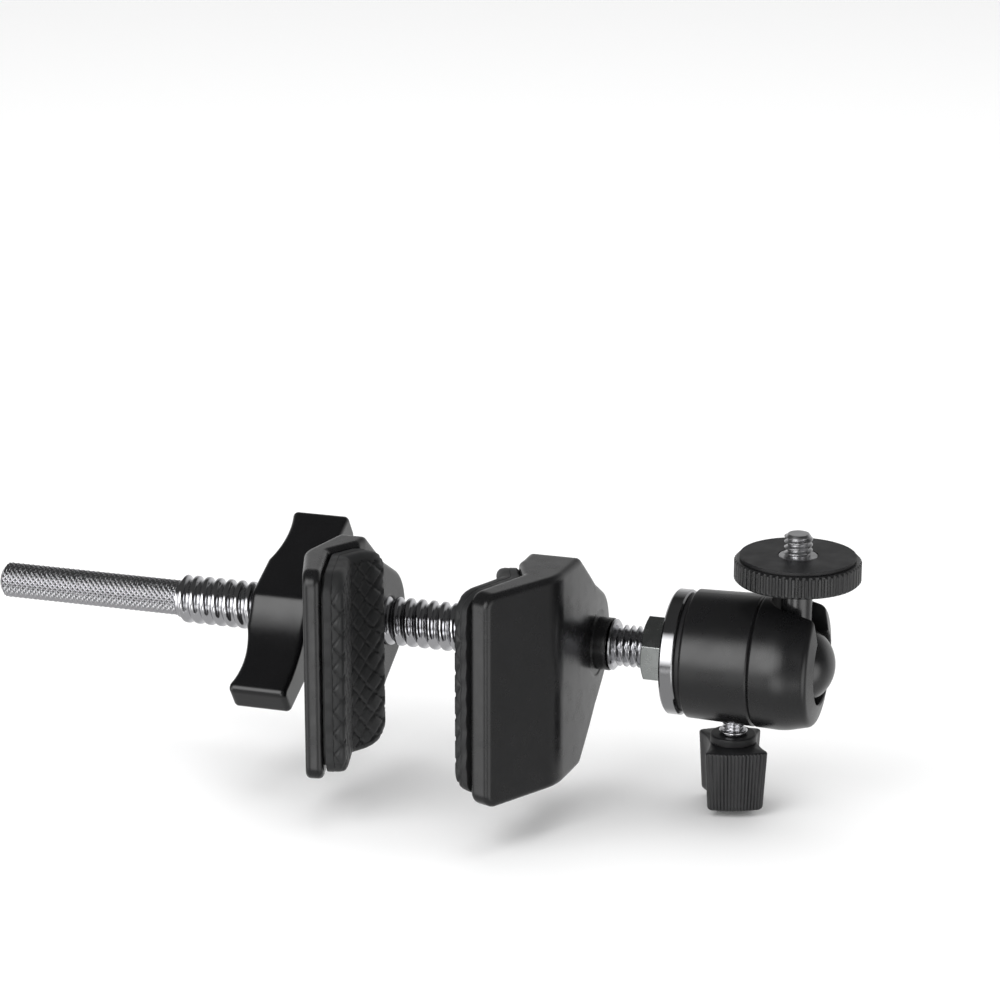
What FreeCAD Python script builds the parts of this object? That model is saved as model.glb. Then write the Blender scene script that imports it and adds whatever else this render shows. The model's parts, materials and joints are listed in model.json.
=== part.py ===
"""Super clamp with a mini ball head: one STEP file per piece.

Frame: X runs along the clamp rod towards the ball head, Y points away from the jaws' mouth,
Z is up. The origin is on the rod's axis, level with the axis of a pole held in the jaws.
All lengths are millimetres and all angles are degrees.
"""
import FreeCAD, Part
import math
import os

from FreeCAD import Vector

INCH = 25.4
RUN = 0.05                      # radial clearance of a running fit
SEAT = 0.02                     # gap between pieces that are seated on each other

# --- clamp rod ----------------------------------------------------------------------------
rod_r = 11.3 / 2                # crest radius of the coarse rolled thread
handle_r = 8.0 / 2
handle_end_x = -116.2
handle_start_x = -70.2
shoulder_r = 11.6 / 2
shoulder_x = 35.4
shoulder_end_x = 36.6
stud_r = 0.375 * INCH / 2       # 3/8 inch, 16 threads per inch
stud_end_x = 58.5
bar_chamfer = 0.8

# --- jaws ---------------------------------------------------------------------------------
jaw_half_height = 24.5
jaw_corner_r = 3.2
hub_back_top_y = -13.8          # the top face ends here and the casting tapers to the hub
taper_knee = (-1.5, 14.7)       # (y, z) where the taper turns shallower
hub_start = (6.5, 10.2)         # (y, z) where the taper meets the round back
hub_back_y = 12.3
jaw_edge_r = 1.3
ridge_round = 13.0
inner_v = (22.9, -28.5)         # deepest point of the V that holds the pad
inner_tip = (16.0, -44.6)
inner_heel = (19.6, -20.4)
inner_back = (19.8, -17.5)      # the inner face runs parallel to Y behind this point
outer_tip = (20.7, -46.4)
outer_ridge = (31.2, -28.0)
outer_middle = (32.1, -12.0)    # the outer side bows gently between the ridge and the back
hub_face_x = 31.2
hub_round = 4.0                 # rounding of the taper, seen along the rod
hub_shoulder_round = 2.2
spot_face_r = 7.6
spot_face_x = 31.8
spigot_r = 6.0
spigot_x = 35.3
spigot_root = 4.0               # how far both spigots are sunk into their castings
jaw_lean = 9.0                  # the sliding jaw's V is set outwards by this angle
jaw_shift = (3.8, -0.8)
moving_tip = (-22.9, -42.9)
moving_ridge = (-28.3, -27.5)
moving_rear = (-25.4, -13.5)
moving_rear_round = 8.0
moving_spigot_x = -30.0
moving_spigot_r = 8.0

# --- pads ---------------------------------------------------------------------------------
pad_foot_t = 0.7                # narrower foot that leaves a dark gap along the jaw's rim
pad_foot_inset = 1.6
pad_body_t = 4.4                # base and tread together
pad_half_height = 23.8
pad_corner_r = 6.0
pad_front_y = -44.8
pad_back_y = -17.0
pad_keel_r = jaw_edge_r + 0.3   # clears the rounding at the bottom of the jaw's V

# --- pin, washer, wing nut ----------------------------------------------------------------
pin_r = 1.5
pin_x = 26.5
pin_z0 = -13.2                  # the pin is driven in from below and stops short of the top
pin_z1 = 8.4
washer_r = 8.5
washer_t = 1.2
wing_x0 = -49.8                 # outer end face of the wing nut
wing_x1 = -35.4                 # inner face of its lobes
wing_half_length = 26.5
wing_tip_half = 3.9
wing_hub_r = 9.0
wing_crest_offset = 2.5          # each crest is set towards the lobe it looks at
wing_hollow = (11.0, 4.6)        # the hollow side of each lobe passes through this point
wing_tip_r = 1.6
wing_crest_r = 3.5
wing_edge_r = 1.2
wing_tilt = 34.0                # angle of the lobes above the horizontal
wing_sweep = 1.4                # depth of the hollow between hub and lobe tip
wing_boss_r0 = 8.6               # the boss narrows from r0 at the lobes to r1 at the washer
wing_boss_r1 = 7.8
wing_boss_root = 3.0

# --- jam nut ------------------------------------------------------------------------------
jam_nut_af = 9 / 16 * INCH
jam_nut_x0 = 43.8
jam_nut_turn = 21.0             # one corner faces the front, a little above the horizontal
jam_nut_face_inset = 0.2
jam_nut_chamfer_angle = 30.0

# --- ball head ----------------------------------------------------------------------------
ring_x0 = 49.9
ring_x1 = 53.3
ring_r = 14.2
ring_edge = 0.4
gasket_x1 = 54.4
gasket_r = 13.3
head_r0 = 14.55                 # the housing widens slightly from its base to its mouth
head_r1 = 15.1
head_edge = 0.5
seam_x = 70.2
mouth_x = 84.0
mouth_r = 8.7
mouth_shoulder_x = 77.0
mouth_rim = (83.0, 13.6)        # (x, radius) of the rim round the front face
mouth_rim_round = 1.6
mouth_shoulder_round = 14.0
mouth_lip = 0.3                 # chamfer round the opening
mouth_neck_x = 81.3
seam_groove = 0.45
ball_x = 77.8
ball_r = 9.0
stem_r = 3.45
tenon_r = 2.95                  # the stem's ends are turned down where they enter ball and disc
tenon_z0 = 3.0
tenon_z1 = 23.2
slot_half = 5.6
cup_bore_r = 9.45
cup_stroke_room = 1.2           # free depth behind the cup
relief_depth = 0.2              # bores end this far behind the piece they take
cup_x0 = 60.6
cup_x1 = 73.6
bore_end_x = 75.8               # shoulder that the spring ring rests against
cup_well_gap = 0.2
cup_ceiling_gap = 0.6           # room above and behind the lock screw's point
spring_gap = 0.3
spring_inner_r = 8.95
ring_spigot_r = 10.0
ring_spigot_x = 57.4

# --- platform -----------------------------------------------------------------------------
platform_z0 = 19.7
platform_z1 = 24.7
platform_r = 14.1
platform_knurls = 60
platform_knurl_depth = 0.45
platform_groove_r = 0.45
platform_edge = 0.5
platform_pad_t = 0.8
camera_stud_r = 0.25 * INCH / 2  # 1/4 inch, 20 threads per inch
camera_stud_length = 5.0
camera_stud_root_r = camera_stud_r - 1.0
camera_stud_root_z = 23.5
camera_stud_chamfer = 0.6
camera_flange_r = camera_stud_r + 1.2
platform_pad_r = platform_r - 1.2

# --- ball lock ----------------------------------------------------------------------------
lock_x = 64.0
lock_r = 2.5
lock_tip_z = -4.4
lock_point_r = 0.4
lock_cone_angle = 45.0
lock_pitch = 0.8                 # the screw's thread, and so the cup's travel in one turn
flange_r = 3.2
flange_z0 = -18.0
flange_z1 = -17.0
collar_r = 5.2
collar_z0 = -19.9
knob_z1 = -20.0
knob_z0 = -34.2
knob_length = 18.0
knob_width_top = 14.0
knob_width_low = 12.5
knob_turn = 20.0
knob_ribs = 15
knob_rib_pitch = 0.84
knob_groove_r = 0.27
knob_bow = 1.2                  # bulge of the two ribbed ends
knob_waist = 1.6                # hollow of the two plain sides
knob_taper = 1.2                # the knob is shorter at its foot by this much
knob_foot_r = 1.0
knob_rib_end = 1.0              # the ribs stop this far below the top
knob_bore_z = -30.2
collar_edge_r = 0.4

X_AXIS = Vector(1, 0, 0)
Z_AXIS = Vector(0, 0, 1)


def cylinder_x(radius, x0, x1, y=0.0, z=0.0):
    """Cylinder along X from x0 to x1."""
    return Part.makeCylinder(radius, x1 - x0, Vector(x0, y, z), X_AXIS)


def cylinder_z(radius, z0, z1, x=0.0, y=0.0):
    """Cylinder along Z from z0 to z1."""
    return Part.makeCylinder(radius, z1 - z0, Vector(x, y, z0), Z_AXIS)


def cone_x(radius0, radius1, x0, x1):
    """Cone along X whose radius changes from radius0 at x0 to radius1 at x1."""
    return Part.makeCone(radius0, radius1, x1 - x0, Vector(x0, 0, 0), X_AXIS)


def polygon_face(points):
    """Flat face inside a closed outline of 3-D points."""
    return Part.Face(Part.makePolygon(points + [points[0]]))


def edges_along(shape, direction, tolerance=0.02):
    """Straight edges of a shape that run along a direction."""
    found = []
    for edge in shape.Edges:
        if isinstance(edge.Curve, Part.Line) and len(edge.Vertexes) == 2:
            run = (edge.Vertexes[1].Point - edge.Vertexes[0].Point).normalize()
            if abs(abs(run.dot(direction)) - 1) < tolerance:
                found.append(edge)
    return found


def upright_edges(shape, point):
    """Vertical edges that stand at a plan point."""
    return [e for e in edges_along(shape, Z_AXIS)
            if math.dist((e.CenterOfMass.x, e.CenterOfMass.y), point) < 0.5]


def turned_profile_x(points):
    """Solid of revolution about the rod's axis from (x, radius) points."""
    outline = [Vector(x, 0, r) for x, r in points]
    return polygon_face(outline).revolve(Vector(0, 0, 0), X_AXIS, 360)


# --- clamp --------------------------------------------------------------------------------

def clamp_rod():
    """Handle, threaded bar, shoulder and 3/8 inch stud turned from one bar."""
    chamfer = bar_chamfer
    bar = turned_profile_x([
        (handle_end_x, 0),
        (handle_end_x, handle_r - chamfer),
        (handle_end_x + chamfer, handle_r),
        (handle_start_x, handle_r),
        (handle_start_x, rod_r - chamfer),
        (handle_start_x + chamfer, rod_r),
        (shoulder_x, rod_r),
        (shoulder_x, shoulder_r - chamfer / 2),
        (shoulder_x + chamfer / 2, shoulder_r),
        (shoulder_end_x - chamfer / 2, shoulder_r),
        (shoulder_end_x, stud_r),
        (stud_end_x - chamfer, stud_r),
        (stud_end_x, stud_r - chamfer),
        (stud_end_x, 0),
    ])
    return bar.cut(pin_hole())


def pin_hole():
    """Blind cross hole for the jaw pin, open on the underside of the jaw."""
    return cylinder_z(pin_r + SEAT, -jaw_half_height, pin_z1, pin_x)


def jaw_side_block():
    """Block that gives a jaw its side view: square at the front, tapered back to the hub."""
    front_y = outer_tip[1] - 6
    half_width = 50
    upper = [Vector(-half_width, front_y, jaw_half_height),
             Vector(-half_width, hub_back_top_y, jaw_half_height),
             Vector(-half_width, taper_knee[0], taper_knee[1]),
             Vector(-half_width, hub_start[0], hub_start[1])]
    lower = [Vector(p.x, p.y, -p.z) for p in reversed(upper)]
    edges = [Part.makeLine(a, b) for a, b in zip(upper, upper[1:])]
    edges.append(Part.Arc(upper[-1], Vector(-half_width, hub_back_y, 0), lower[0]).toShape())
    edges += [Part.makeLine(a, b) for a, b in zip(lower, lower[1:])]
    edges.append(Part.makeLine(lower[-1], upper[0]))
    block = Part.Face(Part.Wire(edges)).extrude(Vector(2 * half_width, 0, 0))
    back = [e for e in edges_along(block, X_AXIS) if e.CenterOfMass.y > hub_back_top_y - 1]
    shoulders = [e for e in back if e.CenterOfMass.y < hub_back_top_y + 1]
    block = block.makeFillet(hub_shoulder_round, shoulders)
    knees = [e for e in edges_along(block, X_AXIS)
             if abs(e.CenterOfMass.y - taper_knee[0]) < 1 or abs(e.CenterOfMass.y - hub_start[0]) < 1]
    return block.makeFillet(hub_round, knees)


def fixed_plan():
    """Plan face of the fixed jaw: an arm with a V on its inner side and a bowed outer side."""
    back_y = hub_back_y + 1
    inner = [inner_tip, inner_v, inner_heel, inner_back, (inner_back[0], back_y),
             (hub_face_x, back_y)]
    points = [flat(p) for p in inner]
    edges = [Part.makeLine(a, b) for a, b in zip(points, points[1:])]
    edges.append(Part.Arc(points[-1], flat(outer_middle), flat(outer_ridge)).toShape())
    edges.append(Part.makeLine(flat(outer_ridge), flat(outer_tip)))
    edges.append(Part.makeLine(flat(outer_tip), points[0]))
    return Part.Face(Part.Wire(edges))


def moving_plan():
    """Plan face of the sliding jaw: the same V, set outwards, on a slimmer arm."""
    back_y = hub_back_y + 1
    seat = [lean_point(p) for p in (inner_tip, inner_v, inner_heel, inner_back)]
    hub_inner_x = seat[-1][0]
    rest = [(hub_inner_x, back_y), (moving_rear[0], back_y), moving_rear, moving_ridge, moving_tip]
    return polygon_face([flat(p) for p in seat + rest])


def flat(point):
    """Plan point (x, y) on the jaws' lower face."""
    return Vector(point[0], point[1], -jaw_half_height)


def lean_point(point):
    """Where a plan point of the fixed jaw's V lies on the sliding jaw."""
    angle = math.radians(jaw_lean)
    x, y = -point[0], point[1]
    return (x * math.cos(angle) + y * math.sin(angle) + jaw_shift[0],
            y * math.cos(angle) - x * math.sin(angle) + jaw_shift[1])


def jaw_casting(plan, rounded):
    """Jaw without its bores. rounded lists (plan point, radius) for upright edges."""
    arm = plan.extrude(Vector(0, 0, 2 * jaw_half_height))
    body = arm.common(jaw_side_block())
    tips = [e for e in edges_along(body, X_AXIS, 0.3)
            if e.CenterOfMass.y < outer_tip[1] + 6 and abs(e.CenterOfMass.z) > jaw_half_height * 0.9]
    body = body.makeFillet(jaw_corner_r, tips)
    for point, radius in rounded:
        body = body.makeFillet(radius, upright_edges(body, point))
    return body.makeFillet(jaw_edge_r, body.Edges)


def fixed_jaw():
    """Jaw pinned to the rod, with a spot-faced spigot that meets the rod's shoulder."""
    body = jaw_casting(fixed_plan(), [(outer_ridge, ridge_round)])
    spot = cylinder_x(spot_face_r, spot_face_x, spigot_x)
    spigot = cylinder_x(spigot_r, inner_back[0] + spigot_root, spigot_x)
    body = body.cut(spot).fuse(spigot).removeSplitter()
    body = body.cut(cylinder_x(rod_r + SEAT, 0, spigot_x + 1))
    return body.cut(pin_hole())


def lean(shape):
    """Mirror a jaw or pad to the left side and set it outwards by the lean."""
    mirrored = shape.mirror(Vector(0, 0, 0), X_AXIS)
    mirrored.rotate(Vector(0, 0, 0), Z_AXIS, -jaw_lean)
    mirrored.translate(Vector(jaw_shift[0], jaw_shift[1], 0))
    return mirrored


def moving_jaw():
    """Sliding jaw, with a spigot that the wing nut pushes on."""
    spigot = cylinder_x(moving_spigot_r, moving_spigot_x, moving_rear[0] + spigot_root)
    casting = jaw_casting(moving_plan(), [(moving_ridge, moving_rear_round),
                                          (moving_rear, moving_rear_round)])
    body = casting.fuse(spigot).removeSplitter()
    return body.cut(cylinder_x(rod_r + RUN, moving_spigot_x - 1, 0))


def seat_x(y):
    """X of the fixed jaw's seating face at a given y."""
    corners = [inner_tip, inner_v, inner_heel, inner_back]
    for (x0, y0), (x1, y1) in zip(corners, corners[1:]):
        if y <= y1:
            return x0 + (x1 - x0) * (y - y0) / (y1 - y0)
    return inner_back[0]


def pad_layer(near, far, inset):
    """Layer of the fixed jaw's pad between two distances from its seat, drawn in all round."""
    front_y = pad_front_y + inset
    back_y = pad_back_y - inset
    stations = [front_y, inner_v[1], inner_heel[1], back_y]
    slope = math.cos(math.atan2(inner_v[0] - inner_tip[0], inner_v[1] - inner_tip[1]))
    low, high = inset - pad_half_height, pad_half_height - inset
    inner = [Vector(seat_x(y) - near / slope, y, low) for y in stations]
    outer = [Vector(seat_x(y) - far / slope, y, low) for y in reversed(stations)]
    solid = polygon_face(inner + outer).extrude(Vector(0, 0, high - low))
    keel = upright_edges(solid, (inner[1].x, inner[1].y))
    solid = solid.makeFillet(pad_keel_r, keel)
    block = Part.makeBox(40, back_y - front_y, high - low, Vector(0, front_y, low))
    block = block.makeFillet(pad_corner_r - inset, edges_along(block, X_AXIS))
    return solid.common(block)


def pad():
    """Rubber pad of the fixed jaw: a body with rounded corners on a narrower foot."""
    foot = pad_layer(SEAT, pad_foot_t + 0.1, pad_foot_inset)
    body = pad_layer(pad_foot_t, pad_foot_t + pad_body_t, 0.0)
    return foot.fuse(body).removeSplitter()


def jaw_pin():
    """Straight pin that locks the fixed jaw to the rod."""
    return cylinder_z(pin_r, pin_z0, pin_z1 - SEAT, pin_x)


def thrust_washer():
    """Washer between the wing nut and the sliding jaw."""
    x1 = moving_spigot_x - SEAT
    return cylinder_x(washer_r, x1 - washer_t, x1).cut(cylinder_x(rod_r + RUN, x1 - washer_t, x1))


def wing_nut():
    """Two-lobed die-cast nut, hollowed between hub and lobe tips."""
    half = wing_half_length
    edges = []
    for side in (-1, 1):
        crest = Vector(wing_x0, side * wing_crest_offset, -side * wing_hub_r)
        hollow = Vector(wing_x0, side * wing_hollow[0], -side * wing_hollow[1])
        near_tip = Vector(wing_x0, side * half, -side * wing_tip_half)
        far_tip = Vector(wing_x0, side * half, side * wing_tip_half)
        next_crest = Vector(wing_x0, -side * wing_crest_offset, side * wing_hub_r)
        edges.append(Part.Arc(crest, hollow, near_tip).toShape())
        edges.append(Part.makeLine(near_tip, far_tip))
        edges.append(Part.makeLine(far_tip, next_crest))
    bar = Part.Face(Part.Wire(Part.__sortEdges__(edges))).extrude(Vector(wing_x1 - wing_x0, 0, 0))
    tips = [e for e in edges_along(bar, X_AXIS) if abs(e.CenterOfMass.y) > half - 1]
    bar = bar.makeFillet(wing_tip_r, tips)
    crests = [e for e in edges_along(bar, X_AXIS) if abs(e.CenterOfMass.z) > wing_hub_r - 1]
    bar = bar.makeFillet(wing_crest_r, crests)
    span = (half - wing_hub_r) / 2
    bow = (span ** 2 + wing_sweep ** 2) / (2 * wing_sweep)
    for side in (-1, 1):
        middle = side * (wing_hub_r + span)
        hollow = Part.makeCylinder(bow, 40, Vector(wing_x0 + wing_sweep - bow, middle, -20), Z_AXIS)
        bar = bar.cut(hollow)
    nut = bar.makeFillet(wing_edge_r, bar.Edges)
    washer_face = moving_spigot_x - washer_t - 2 * SEAT
    nut = nut.fuse(cone_x(wing_boss_r0, wing_boss_r1, wing_x1 - wing_boss_root, washer_face))
    nut = nut.cut(cylinder_x(rod_r + RUN, wing_x0 - 1, washer_face + 1)).removeSplitter()
    nut.rotate(Vector(0, 0, 0), X_AXIS, wing_tilt)
    return nut


# --- ball head ----------------------------------------------------------------------------

def jam_nut():
    """Hexagon nut with chamfered corners that locks the ball head on the stud."""
    corner_r = jam_nut_af / math.sqrt(3)
    x1 = ring_x0 - SEAT
    corners = []
    for k in range(6):
        angle = math.radians(60 * k + 180 - jam_nut_turn)
        corners.append(Vector(jam_nut_x0, corner_r * math.cos(angle), corner_r * math.sin(angle)))
    prism = polygon_face(corners).extrude(Vector(x1 - jam_nut_x0, 0, 0))
    chamfer = corner_r - jam_nut_af / 2
    rise = chamfer * math.tan(math.radians(jam_nut_chamfer_angle))
    face_r = jam_nut_af / 2 - jam_nut_face_inset
    envelope = turned_profile_x([
        (jam_nut_x0, 0), (jam_nut_x0, face_r), (jam_nut_x0 + rise, corner_r),
        (x1 - rise, corner_r), (x1, face_r), (x1, 0)])
    return prism.common(envelope).cut(cylinder_x(stud_r + RUN, jam_nut_x0 - 1, x1 + 1))


def head_base_ring():
    """Plated base of the ball head, threaded for the stud and screwed into the housing."""
    disc = turned_profile_x([
        (ring_x0, 0), (ring_x0, ring_r - ring_edge), (ring_x0 + ring_edge, ring_r),
        (ring_x1 - ring_edge, ring_r), (ring_x1, ring_r - ring_edge), (ring_x1, 0)])
    spigot = cylinder_x(ring_spigot_r, ring_x1 - 1, ring_spigot_x)
    return disc.fuse(spigot).removeSplitter().cut(cylinder_x(stud_r + RUN, ring_x0 - 1, ring_spigot_x + 1))


def base_gasket():
    """Black washer in the recess between the base ring and the housing."""
    x0 = ring_x1 + SEAT
    x1 = gasket_x1 - SEAT
    return cylinder_x(gasket_r, x0, x1).cut(cylinder_x(ring_spigot_r + SEAT, x0, x1))


def head_radius(x):
    """Outside radius of the housing at a station along its axis."""
    return head_r0 + (head_r1 - head_r0) * (x - gasket_x1) / (mouth_shoulder_x - gasket_x1)


def housing_base():
    """Rear shell of the housing: it takes the base ring, the lock screw and the cup."""
    shell = turned_profile_x([
        (gasket_x1, 0), (gasket_x1, head_r0 - head_edge), (gasket_x1 + head_edge, head_r0),
        (seam_x - seam_groove, head_radius(seam_x)), (seam_x, head_radius(seam_x) - seam_groove),
        (seam_x, 0)])
    shell = shell.cut(cylinder_x(ring_spigot_r + SEAT, gasket_x1 - 1, ring_spigot_x + relief_depth))
    shell = shell.cut(cylinder_x(stud_r + 1, gasket_x1, stud_end_x + relief_depth))
    shell = shell.cut(cylinder_x(cup_bore_r, cup_x0 - cup_stroke_room, seam_x + 1))
    return shell.cut(cylinder_z(lock_r + RUN, -head_r1 - 2, -cup_bore_r + 2, lock_x))


def mouth_cavity():
    """Space inside the front shell: the cup's bore, the ball's socket and a flared mouth."""
    bore = cylinder_x(cup_bore_r, seam_x - 1, bore_end_x)
    socket = Part.makeSphere(ball_r + RUN, Vector(ball_x, 0, 0))
    neck_r = math.sqrt((ball_r + RUN) ** 2 - (mouth_neck_x - ball_x) ** 2)
    flare = cone_x(neck_r, mouth_r, mouth_neck_x, mouth_x + 0.01)
    lip = cone_x(mouth_r, mouth_r + mouth_lip, mouth_x - mouth_lip, mouth_x + 0.01)
    return bore.fuse(socket).fuse(flare).fuse(lip)


def housing_front():
    """Front shell: it holds the ball and has the slot that lets the stem stand square."""
    x0 = seam_x + SEAT
    r0 = head_radius(seam_x)
    shell = turned_profile_x([
        (x0, 0), (x0, r0 - seam_groove), (x0 + seam_groove, r0), (mouth_shoulder_x, head_r1),
        mouth_rim, (mouth_x, mouth_r), (mouth_x, 0)])
    shell = shell.makeFillet(mouth_rim_round, circles_at(shell, mouth_rim))
    shell = shell.makeFillet(mouth_shoulder_round, circles_at(shell, (mouth_shoulder_x, head_r1)))
    shell = shell.cut(mouth_cavity())
    slot = cylinder_z(slot_half, 0, head_r1 + 2, ball_x)
    slot = slot.fuse(Part.makeBox(mouth_x + 2 - ball_x, 2 * slot_half, head_r1 + 2,
                                  Vector(ball_x, -slot_half, 0)))
    return shell.cut(slot)


def circles_at(shape, place, tolerance=0.05):
    """Round edges about the rod's axis at an (x, radius) place."""
    x, radius = place
    return [e for e in shape.Edges if not e.Degenerated and isinstance(e.Curve, Part.Circle)
            and abs(e.Curve.Center.x - x) < tolerance and abs(e.Curve.Radius - radius) < tolerance]


def lock_cone(gap):
    """Pointed end of the lock screw, grown sideways by a gap."""
    run = math.tan(math.radians(lock_cone_angle))
    z0 = lock_tip_z - (lock_r - lock_point_r) / run
    height = lock_tip_z - z0
    return Part.makeCone(lock_r + gap, lock_point_r + gap, height, Vector(lock_x, 0, z0), Z_AXIS), z0


def ball_cup():
    """Sliding cup behind the ball; the lock screw's point wedges it forwards."""
    body = cylinder_x(cup_bore_r - RUN, cup_x0, cup_x1)
    body = body.cut(Part.makeSphere(ball_r + RUN, Vector(ball_x, 0, 0)))
    cone, z0 = lock_cone(RUN * 2)
    travel = lock_pitch * math.tan(math.radians(lock_cone_angle))
    well = cylinder_z(lock_r + travel + cup_well_gap, -cup_bore_r - 1, z0, lock_x)
    ceiling_z = lock_tip_z + cup_ceiling_gap
    shaft = cylinder_z(lock_r + cup_ceiling_gap, z0 - 0.1, ceiling_z, lock_x)
    behind = Part.makeBox(cup_bore_r, 2 * cup_bore_r, 2 * cup_bore_r,
                          Vector(lock_x - cup_bore_r, -cup_bore_r, -1.5 * cup_bore_r))
    relief = cylinder_z(lock_point_r + 0.5, lock_tip_z - 0.5, ceiling_z, lock_x)
    return body.cut(well).cut(cone).cut(shaft.common(behind)).cut(relief)


def cup_spring():
    """Split spring ring between the cup and the socket, open where the stem stands."""
    x0 = cup_x1 + spring_gap
    x1 = bore_end_x - spring_gap
    ring = cylinder_x(cup_bore_r - 0.1, x0, x1).cut(cylinder_x(spring_inner_r, x0, x1))
    gap = Part.makeBox(x1 - x0 + 2, 2 * slot_half + 1, cup_bore_r * 2,
                       Vector(x0 - 1, -slot_half - 0.5, 0))
    return ring.cut(gap)


def ball():
    """Ball, bored at the top for the stem."""
    return Part.makeSphere(ball_r, Vector(ball_x, 0, 0)).cut(
        cylinder_z(tenon_r, tenon_z0, ball_r + 1, ball_x))


def stem():
    """Neck between the ball and the platform."""
    neck = cylinder_z(stem_r, math.sqrt(ball_r ** 2 - stem_r ** 2) + SEAT, platform_z0 - SEAT, ball_x)
    tenon = cylinder_z(tenon_r - SEAT, tenon_z0 + SEAT, tenon_z1, ball_x)
    cap = Part.makeSphere(ball_r + SEAT, Vector(ball_x, 0, 0))
    return neck.cut(cap).fuse(tenon).removeSplitter()


def platform_disc():
    """Round camera platform with a straight-knurled edge."""
    flat_r = platform_r - platform_edge
    outline = [(0, platform_z0), (flat_r, platform_z0), (platform_r, platform_z0 + platform_edge),
               (platform_r, platform_z1 - platform_edge), (flat_r, platform_z1), (0, platform_z1)]
    face = polygon_face([Vector(ball_x + r, 0, z) for r, z in outline])
    disc = face.revolve(Vector(ball_x, 0, 0), Z_AXIS, 360)
    grooves = []
    for k in range(platform_knurls):
        angle = 2 * math.pi * k / platform_knurls
        reach = platform_r - platform_knurl_depth + platform_groove_r
        grooves.append(cylinder_z(platform_groove_r, platform_z0 - 1, platform_z1 + 1,
                                  ball_x + reach * math.cos(angle), reach * math.sin(angle)))
    disc = disc.cut(Part.makeCompound(grooves))
    socket = cylinder_z(tenon_r + RUN, platform_z0 - 1, tenon_z1 + 0.1, ball_x)
    stud_hole = cylinder_z(camera_stud_root_r, tenon_z1, platform_z1 + 1, ball_x)
    return disc.cut(socket).cut(stud_hole)


def platform_pad():
    """Grip ring on top of the platform."""
    z0 = platform_z1 + SEAT
    z1 = z0 + platform_pad_t
    hole = cylinder_z(camera_flange_r + 0.1, z0 - 1, z1 + 1, ball_x)
    return cylinder_z(platform_pad_r, z0, z1, ball_x).cut(hole)


def camera_stud():
    """Threaded stud for the camera, on a flange flush with the grip ring."""
    z0 = platform_z1 + SEAT
    seat_z = platform_z1 + platform_pad_t
    z1 = seat_z + camera_stud_length
    chamfer = camera_stud_chamfer
    flange = cylinder_z(camera_flange_r, z0, seat_z, ball_x)
    body = cylinder_z(camera_stud_r, seat_z - 0.1, z1 - chamfer, ball_x)
    tip = Part.makeCone(camera_stud_r, camera_stud_r - chamfer, chamfer,
                        Vector(ball_x, 0, z1 - chamfer), Z_AXIS)
    root = cylinder_z(camera_stud_root_r - SEAT, camera_stud_root_z, z0 + 0.5, ball_x)
    return flange.fuse(body).fuse(tip).fuse(root).removeSplitter()


# --- ball lock ----------------------------------------------------------------------------

def lock_screw():
    """Pointed screw with a flange under the housing and a shank inside the knob."""
    cone, z0 = lock_cone(0)
    shank = cylinder_z(lock_r, knob_bore_z, z0, lock_x)
    flange = cylinder_z(flange_r, flange_z0, flange_z1, lock_x)
    return shank.fuse(cone).fuse(flange).removeSplitter()


def lock_collar():
    """Loose collar between the screw's flange and the knob."""
    z0 = collar_z0 + SEAT
    z1 = flange_z0 - RUN
    ring = cylinder_z(collar_r, z0, z1, lock_x)
    ring = ring.makeFillet(collar_edge_r, [e for e in ring.Edges if abs(e.CenterOfMass.z - z1) < 0.01
                                 and e.BoundBox.XLength > collar_r])
    return ring.cut(cylinder_z(lock_r + RUN, z0 - 1, z1 + 1, lock_x))


def knob_outline(width, length, z):
    """Waisted oblong outline with bowed ends, long side along Y."""
    half_w = width / 2
    half_l = length / 2
    corner_y = half_l - knob_bow
    waist_x = half_w - knob_waist
    points = [(half_w, corner_y), (0, half_l), (-half_w, corner_y), (-waist_x, 0),
              (-half_w, -corner_y), (0, -half_l), (half_w, -corner_y), (waist_x, 0)]
    points = [Vector(x, y, z) for x, y in points]
    arcs = []
    for k in range(0, 8, 2):
        arcs.append(Part.Arc(points[k], points[k + 1], points[(k + 2) % 8]).toShape())
    return Part.Wire(arcs)


def lock_knob():
    """Oblong knob with vertical ribs on its two ends."""
    top = knob_outline(knob_width_top, knob_length, knob_z1)
    low = knob_outline(knob_width_low, knob_length - knob_taper, knob_z0)
    body = Part.makeLoft([low, top], True)
    body = body.makeFillet(knob_foot_r, [e for e in body.Edges if abs(e.CenterOfMass.z - knob_z0) < 0.3])
    grooves = []
    for end in (-1, 1):
        for k in range(knob_ribs):
            x = (k - (knob_ribs - 1) / 2) * knob_rib_pitch
            bow_y = knob_length / 2 - knob_bow * (2 * x / knob_width_top) ** 2
            foot = Vector(x * knob_width_low / knob_width_top, end * (bow_y - knob_taper / 2), knob_z0 - 1)
            head = Vector(x, end * bow_y, knob_z1 - knob_rib_end)
            run = head - foot
            grooves.append(Part.makeCylinder(knob_groove_r, run.Length, foot, run))
    body = body.cut(Part.makeCompound(grooves))
    body = body.cut(cylinder_z(lock_r + SEAT, knob_bore_z - SEAT, knob_z1 + 1))
    body.rotate(Vector(0, 0, 0), Z_AXIS, knob_turn)
    body.translate(Vector(lock_x, 0, 0))
    return body


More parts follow.
